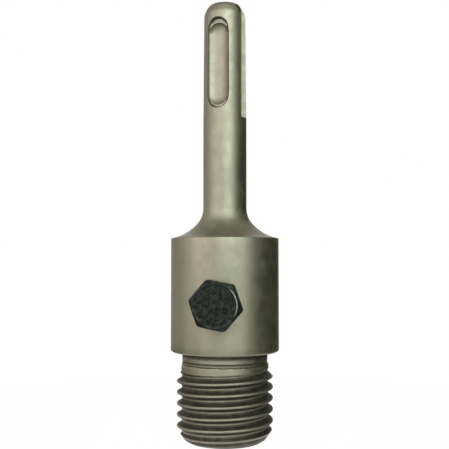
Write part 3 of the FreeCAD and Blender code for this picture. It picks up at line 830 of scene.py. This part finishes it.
def add_head(skin, s):
    """The hexagon head, from the middle of its face down to its washer face. Gives the lowest ring."""
    top = s.head_height
    circle = s.head_circle / 2
    bearings = [TURN * column / SCREW_COLUMNS for column in range(SCREW_COLUMNS)]
    rim = [rim_highlight_and_wear(bearing) for bearing in bearings]
    shares = ((0.3, 0.55), (0.62, 0.75), (0.86, 1.0), (0.915, 1.0), (0.945, 0.3), (0.965, 0.0), (0.99, 0.0))
    painted_light_and_wear_values = [0.0] * 5 + [rim] * 2
    face = [(circle * out, top - s.head_dish * deep, painted_light_and_wear) for (out, deep), painted_light_and_wear in zip(shares, painted_light_and_wear_values)]
    first = skin.turn(face[:1], SCREW_COLUMNS)
    skin.cap(first, (0, 0, top - s.head_dish / 2), True)
    above = skin.turn(face[1:], SCREW_COLUMNS, first)

    def side(reach):
        """Points down the head's side where it reaches this far, as (radius, height)."""
        corner = top - (reach - circle) * tan(s.head_chamfer)
        return [
            (circle, top - 0.02 * MM),
            (circle + 0.06 * MM, top - 0.05 * MM),
            (blend(circle, reach, 0.5), blend(top, corner, 0.5) - 0.01 * MM),
            (reach - 0.05 * MM, corner + 0.02 * MM),
            (reach, corner - 0.06 * MM),
            (reach, blend(s.washer_height, top - 0.6 * MM, 0.5)),
            (reach, s.washer_height + 0.1 * MM),
            (reach - 0.08 * MM, s.washer_height),
        ]

    sides = [side(hexagon_reach(bearing - s.head_turn, s)) for bearing in bearings]
    for level, painted_light_and_wear in zip(zip(*sides), (-0.3, 0.0, 0.0, -0.7, -0.7, 0.0, 0.0, 0.0)):
        points = [polar(radius, bearing, height) for bearing, (radius, height) in zip(bearings, level)]
        ring = skin.ring(points, painted_light_and_wear)
        skin.join(above, ring)
        above = ring
    return above


def bolt_skin(s):
    """The clamp screw, with its axis up: height 0 is the head's seat, and the head is above it."""
    skin = Skin()
    washer = s.washer_diameter / 2
    outside = s.screw_diameter / 2
    root = outside - s.screw_depth
    neck = [
        (washer + 0.05 * MM, s.washer_height, 0.0),
        (washer, s.washer_height - 0.05 * MM, 0.0),
        (washer - 0.05 * MM, 0.03 * MM, 0.0),
        (washer - 0.15 * MM, 0.0, 0.0),
        (outside + 0.2 * MM, 0.0, 0.0),
        (outside - 0.02 * MM, -0.15 * MM, 0.0),
        (outside - 0.05 * MM, -0.7 * MM, 0.0),
        (root, -s.screw_neck, 0.0),
    ]
    skin.turn(neck, SCREW_COLUMNS, add_head(skin, s))
    tip = s.screw_tip - s.head_seat
    point = root - s.screw_point

    def limit(height):
        """The tapered tip, and the thread's run-out into the neck."""
        return min(point + (height - tip) * 0.9, root + (-s.screw_neck - height) * 0.8)

    thread = Thread(outside, s.screw_pitch, s.screw_depth, s.screw_crest, s.thread_flank, 0.0, 0.0)
    thread.strip(skin, SCREW_COLUMNS, tip, -s.screw_neck, limit, lambda height, place: 0.0)
    end = skin.ring(around(point, tip, SCREW_COLUMNS))
    skin.cap(end, (0, 0, tip), False)
    return skin


class Nodes:
    """Adds nodes to a tree and links them."""

    def __init__(self, tree):
        self.tree = tree

    def link(self, source, target):
        """Link an output to an input, or set the input where the source is a value."""
        if hasattr(source, "is_output"):
            self.tree.links.new(source, target)
        else:
            target.default_value = source

    def add(self, kind, inputs, **settings):
        """Add a node, link or set its inputs, and give its outputs."""
        node = self.tree.nodes.new("ShaderNode" + kind)
        for name, value in settings.items():
            setattr(node, name, value)
        for name, source in inputs.items():
            self.link(source, node.inputs[name])
        return node.outputs

    def maths(self, operation, first, second):
        return self.add("Math", {0: first, 1: second}, operation=operation)["Value"]

    def times(self, first, second):
        return self.maths("MULTIPLY", first, second)

    def mix(self, share, first, second):
        inputs = {"Factor": share, "A": first, "B": second}
        return self.add("Mix", inputs, data_type="RGBA")["Result"]

    def any_ray(self, *kinds):
        """1 for a ray that is of one of these kinds, else 0."""
        rays = self.add("LightPath", {})
        seen = rays[kinds[0]]
        for kind in kinds[1:]:
            seen = self.maths("MAXIMUM", seen, rays[kind])
        return seen

    def glow(self, tone, strength=1.0):
        return self.add("Emission", {"Color": rgba(tone), "Strength": strength})["Emission"]

    def show(self, share, first, second):
        """Show a mix of two shaders on the surface."""
        mixed = self.add("MixShader", {0: share, 1: first, 2: second})["Shader"]
        self.link(mixed, self.tree.nodes["Material Output"].inputs["Surface"])


class Shader(Nodes):
    """Builds one piece's material."""

    def __init__(self, name):
        self.material = new_material(name)
        super().__init__(self.material.node_tree)
        self.inputs = self.tree.nodes["Principled BSDF"].inputs
        self.place = self.add("TexCoord", {})["Object"]

    def stretched(self, scale):
        """The surface's own coordinates, stretched along some of its axes."""
        return self.add("Mapping", {"Vector": self.place, "Scale": scale})["Vector"]

    def noise(self, scale, detail=3.0, rough=0.5, place=None, distortion=0.0):
        inputs = {"Vector": place or self.place, "Scale": scale, "Detail": detail, "Roughness": rough}
        return self.add("TexNoise", {**inputs, "Distortion": distortion})["Fac"]

    def spread(self, value, low, high, to_low=0.0, to_high=1.0):
        """Map a value from one range onto another, and keep it within that."""
        inputs = {"Value": value, "From Min": low, "From Max": high, "To Min": to_low, "To Max": to_high}
        return self.add("MapRange", inputs, clamp=True)["Result"]

    def painted_light_and_wear(self, clean, full):
        """0 where the skin's painted light and wear is the first value and 1 where it is the second."""
        return self.spread(self.add("Attribute", {}, attribute_name="painted_light_and_wear")["Fac"], clean, full)

    def bump(self, height, strength, distance, below=None):
        inputs = {"Height": height, "Strength": strength, "Distance": distance}
        if below is not None:
            inputs["Normal"] = below
        return self.add("Bump", inputs)["Normal"]


def rgba(value):
    return (*value, 1.0)


def new_material(name):
    material = bpy.data.materials.new(name)
    material.use_nodes = True
    return material


def steel_material(looks):
    """Satin steel: blasted and lightly oiled, with shade painted into its colour on the flanks, in corners
    and in hollows, and its edges worn and painted bright.
    """
    m = Shader("satin_steel")
    dark = rgba(looks.steel_stain_and_shade)
    blotches = m.spread(m.noise(90, 3, 0.6, distortion=0.6), 0.35, 0.65)
    film = m.spread(m.noise(260, 4, 0.6, m.stretched((1, 1, 0.35))), 0.4, 0.75)
    specks = m.spread(m.noise(2600, 2, 0.7), 0.62, 0.72, 0, 0.16)
    # Painted shade: darkens the colour where the skin's painted light and wear is above 0
    painted_light_and_wear = m.painted_light_and_wear(0.05, 1.0)
    uneven = m.spread(m.noise(700, 3, 0.6), 0.3, 0.7, 0.8, 1.0)
    # Worn edges, painted brighter as a highlight
    worn = m.times(m.painted_light_and_wear(0.0, -1.0), looks.wear)
    base = m.mix(blotches, rgba(looks.steel), rgba(looks.steel_olive))
    base = m.mix(m.times(film, 0.18), base, dark)
    base = m.mix(specks, base, dark)
    base = m.mix(m.times(m.times(painted_light_and_wear, uneven), 0.9), base, dark)
    base = m.mix(m.times(worn, m.spread(m.noise(1300, 2), 0.3, 0.6)), base, rgba(looks.steel_worn_highlight))
    m.link(base, m.inputs["Base Color"])
    m.link(1.0, m.inputs["Metallic"])
    rough = m.spread(m.noise(420, 3, 0.6), 0.3, 0.7, looks.steel_gloss - 0.06, looks.steel_gloss + 0.08)
    m.link(m.maths("ADD", rough, m.times(painted_light_and_wear, 0.18)), m.inputs["Roughness"])
    blasted = m.bump(m.noise(5200, 2, 0.6), 0.10, 0.03 * MM)
    turned = m.bump(m.noise(700, 4, 0.7, m.stretched((0.03, 0.03, 6.0))), 0.10, 0.03 * MM, blasted)
    m.link(turned, m.inputs["Normal"])
    return m.material


def black_material(looks):
    """Black oxide on a forged screw, worn along the edges of its head, with a highlight painted on one side
    of its face's rim.
    """
    m = Shader("blackened_steel")
    cloud = m.spread(m.noise(1100, 4, 0.75, distortion=0.6), 0.42, 0.68)
    worn = m.times(m.painted_light_and_wear(0.0, -1.0), looks.wear)
    base = m.mix(m.times(cloud, 0.40), rgba(looks.black), rgba(looks.black_worn))
    base = m.mix(m.times(worn, m.spread(m.noise(1500, 2), 0.35, 0.6)), base, rgba(looks.black_worn))
    # Painted highlight on one side of the face's rim
    base = m.mix(m.painted_light_and_wear(0.0, 1.0), base, rgba(looks.black_highlight))
    m.link(base, m.inputs["Base Color"])
    m.link(0.85, m.inputs["Metallic"])
    rough = m.spread(m.noise(900, 3), 0.3, 0.7, looks.black_gloss - 0.05, looks.black_gloss + 0.12)
    m.link(rough, m.inputs["Roughness"])
    grain = m.bump(m.noise(2600, 3, 0.6), 0.16, 0.04 * MM)
    forged = m.bump(m.noise(1100, 3, 0.6, distortion=0.6), 0.5, 0.12 * MM, grain)
    m.link(forged, m.inputs["Normal"])
    return m.material


def floor_material(name):
    """A floor that the camera and the metal see as white, and that still takes a shadow."""
    material = new_material(name)
    nodes = Nodes(material.node_tree)
    lit = nodes.tree.nodes["Principled BSDF"]
    lit.inputs["Base Color"].default_value = (0.8, 0.8, 0.8, 1.0)
    lit.inputs["Roughness"].default_value = 0.9
    seen = nodes.any_ray(*SEEN_BY)
    nodes.show(nodes.times(seen, FLOOR_SHARE), lit.outputs["BSDF"], nodes.glow((1, 1, 1), FLOOR_GLOW))
    return material


def card_material(name, tone):
    """A card that only the metal sees: the camera and the lamps look through it."""
    material = new_material(name)
    nodes = Nodes(material.node_tree)
    nodes.tree.nodes.remove(nodes.tree.nodes["Principled BSDF"])
    clear = nodes.add("BsdfTransparent", {})["BSDF"]
    nodes.show(nodes.any_ray("Is Camera Ray", "Is Shadow Ray"), nodes.glow(tone), clear)
    return material


def studio_world():
    """A world that the camera and the metal see as white, and that lights the rest softly."""
    world = bpy.data.worlds.new("studio")
    world.use_nodes = True
    nodes = Nodes(world.node_tree)
    seen = nodes.any_ray(*SEEN_BY)
    shown = nodes.mix(seen, (0.4, 0.4, 0.39, 1.0), (1.0, 1.0, 1.0, 1.0))
    nodes.link(shown, nodes.tree.nodes["Background"].inputs["Color"])
    return world


def sheet(name, corners, material, placing):
    """A flat stage piece."""
    mesh = bpy.data.meshes.new(name)
    mesh.from_pydata(corners, [], [tuple(range(len(corners)))])
    mesh.transform(placing)
    mesh.materials.append(material)
    piece = new_object(name, mesh)


def rectangle(left, right, low, high, out=0.0):
    return [(left, low, out), (right, low, out), (right, high, out), (left, high, out)]


def facing_arbor(degrees_right, degrees_up, distance):
    """Where something stands that faces the arbor, turned to the right of the camera and up."""
    bearing = CAMERA_BEARING + radians(degrees_right)
    elevation = radians(degrees_up)
    direction = Vector(polar(cos(elevation), bearing, sin(elevation)))
    turned = direction.to_track_quat("Z", "Y").to_matrix().to_4x4()
    return Matrix.Translation(AIM + direction * distance) @ turned


def softbox(name, placing, size, power, tint):
    """A rectangular area lamp."""
    lamp = bpy.data.lights.new(name, "AREA")
    lamp.shape = "RECTANGLE"
    lamp.size, lamp.size_y = size
    lamp.energy = power
    lamp.color = tint
    holder = new_object(name, lamp)
    holder.matrix_world = placing


def card(name, placing, size, tone):
    """A toned card that shows in one side of the metal."""
    wide, high = size[0] / 2, size[1] / 2
    sheet(name, rectangle(-wide, wide, -high, high), card_material(name, tone), placing)


class ARBOR_OT_body(bpy.types.Operator):
    """Make the adapter body with its slots, flare, collar, thread and bore"""

    bl_idname = "arbor.body"
    bl_label = "Adapter Body"

    def execute(self, context):
        sizes = context.scene.arbor_sizes
        piece = body_skin(sizes).finish("adapter_steel")
        cut_screw_hole(piece, sizes)
        tidy_mesh(piece.data)
        piece.data.materials.clear()
        piece.data.materials.append(steel_material(context.scene.arbor_looks))
        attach(piece, "adapter")
        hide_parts("adapter_body")
        return {"FINISHED"}


class ARBOR_OT_bolt(bpy.types.Operator):
    """Make the clamp screw with its hexagon head and its thread"""

    bl_idname = "arbor.bolt"
    bl_label = "Clamp Screw"

    def execute(self, context):
        sizes = context.scene.arbor_sizes
        piece = bolt_skin(sizes).finish("clamp_screw")
        piece.data.transform(on_screw_axis(sizes, sizes.head_seat))
        piece.data.materials.append(black_material(context.scene.arbor_looks))
        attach(piece, "bolt")
        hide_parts("clamp_bolt")
        return {"FINISHED"}


class ARBOR_OT_stage(bpy.types.Operator):
    """Set the floor, lamps, cards and camera"""

    bl_idname = "arbor.stage"
    bl_label = "Stage"

    def execute(self, context):
        scene = context.scene
        scene.world = studio_world()
        rim = around(FLOOR_RADIUS, 0, FLOOR_CORNERS)
        sheet("floor", rim, floor_material("stage_floor"), Matrix())
        for name, *where, size, power, tint in LAMPS:
            softbox(name, facing_arbor(*where), size, power, tint)
        for name, *where, size, tone in CARDS:
            card(name, facing_arbor(*where), size, tone)

        to_right = Matrix.Rotation(CAMERA_BEARING + pi / 2, 4, "Z")
        for name, near, far, tone in FLOOR_CARDS:
            corners = rectangle(near, far, -FLOOR_RADIUS, FLOOR_RADIUS, FLOOR_CARD_HEIGHT)
            sheet(name, corners, card_material(name, tone), to_right)

        lens = bpy.data.cameras.new("camera")
        lens.sensor_width = SENSOR_WIDTH
        lens.lens = FOCAL_LENGTH * SENSOR_WIDTH / PICTURE_WIDTH
        lens.clip_start, lens.clip_end = 0.01, 5.0
        camera = new_object("camera", lens)
        camera.location = to_right @ Vector((CAMERA_RIGHT, -CAMERA_DISTANCE, CAMERA_HEIGHT))
        camera.rotation_euler = (pi / 2 + CAMERA_TILT, 0, CAMERA_BEARING + pi / 2)
        scene.camera = camera
        scene.view_settings.view_transform = "Standard"
        return {"FINISHED"}


class ARBOR_PT_panel(bpy.types.Panel):
    """The arbor's sizes, looks and operators, in the sidebar"""

    bl_label = "Arbor"
    bl_idname = "ARBOR_PT_panel"
    bl_space_type = "VIEW_3D"
    bl_region_type = "UI"
    bl_category = "Arbor"

    def draw(self, context):
        layout = self.layout
        for operator in (ARBOR_OT_body, ARBOR_OT_bolt, ARBOR_OT_stage):
            layout.operator(operator.bl_idname)
        for group in (context.scene.arbor_sizes, context.scene.arbor_looks):
            box = layout.box()
            for name in group.bl_rna.properties.keys():
                if name not in ("rna_type", "name"):
                    box.prop(group, name)


CLASSES = (ArborSizes, ArborLooks, ARBOR_OT_body, ARBOR_OT_bolt, ARBOR_OT_stage, ARBOR_PT_panel)


def register():
    for kind in CLASSES:
        bpy.utils.register_class(kind)
    bpy.types.Scene.arbor_sizes = bpy.props.PointerProperty(type=ArborSizes)
    bpy.types.Scene.arbor_looks = bpy.props.PointerProperty(type=ArborLooks)


def unregister():
    del bpy.types.Scene.arbor_looks
    del bpy.types.Scene.arbor_sizes
    for kind in reversed(CLASSES):
        bpy.utils.unregister_class(kind)


def main():
    register()
    bpy.ops.arbor.body()
    bpy.ops.arbor.bolt()
    bpy.ops.arbor.stage()


if __name__ == "__main__":
    main()
